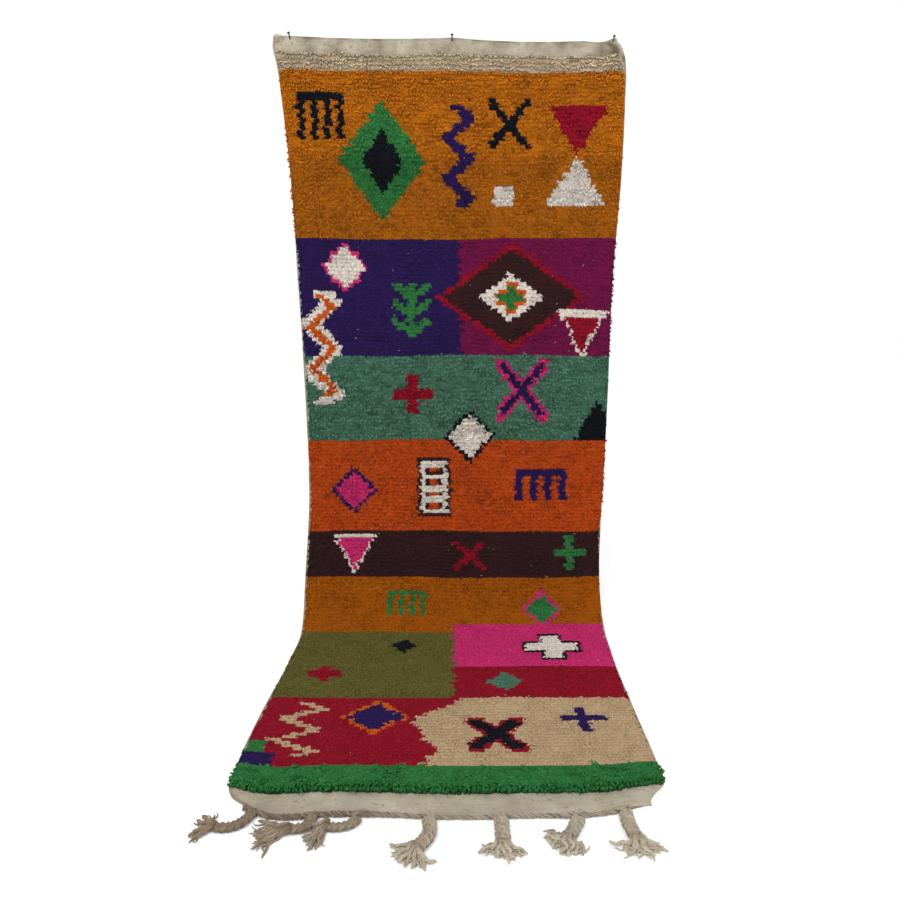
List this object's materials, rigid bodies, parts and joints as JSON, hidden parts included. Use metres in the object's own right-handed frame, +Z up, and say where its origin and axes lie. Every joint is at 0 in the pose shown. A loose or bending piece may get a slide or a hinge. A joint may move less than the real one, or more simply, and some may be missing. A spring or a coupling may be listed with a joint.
{
  "type": "knotted wool runner rug on nails",
  "caption": "Hand-knotted wool runner hung by its top edge on nails, falling straight and sweeping out over the floor, with a twisted hem cord and braided warp ends.",
  "frame": {"origin": "where the middle nail enters the wall, on the back face of the rug at its top edge", "axes": "+Z up along the wall, +Y into the wall, so the pile faces -Y and the lower end lies out over the floor towards -Y, +X to the right as seen from the front"},
  "size_m": [1.0793, 1.213, 1.8471],
  "materials": {
    "wool_pile": "knotted wool pile in bands of ochre, purple, plum, teal, rust, brown, olive, pink, crimson, cream and green",
    "warp_yarn": "undyed plain-weave wool ends, twisted cord and braids",
    "nail_steel": "darkened plain steel"
  },
  "bodies": {
    "root": {"rug": "wool_pile", "hem_cord": "warp_yarn", "braid_1": "warp_yarn", "braid_2": "warp_yarn", "braid_3": "warp_yarn", "braid_4": "warp_yarn", "braid_5": "warp_yarn", "braid_6": "warp_yarn", "braid_7": "warp_yarn", "nail_left": "nail_steel", "nail_middle": "nail_steel", "nail_right": "nail_steel"}
  },
  "joints": []
}
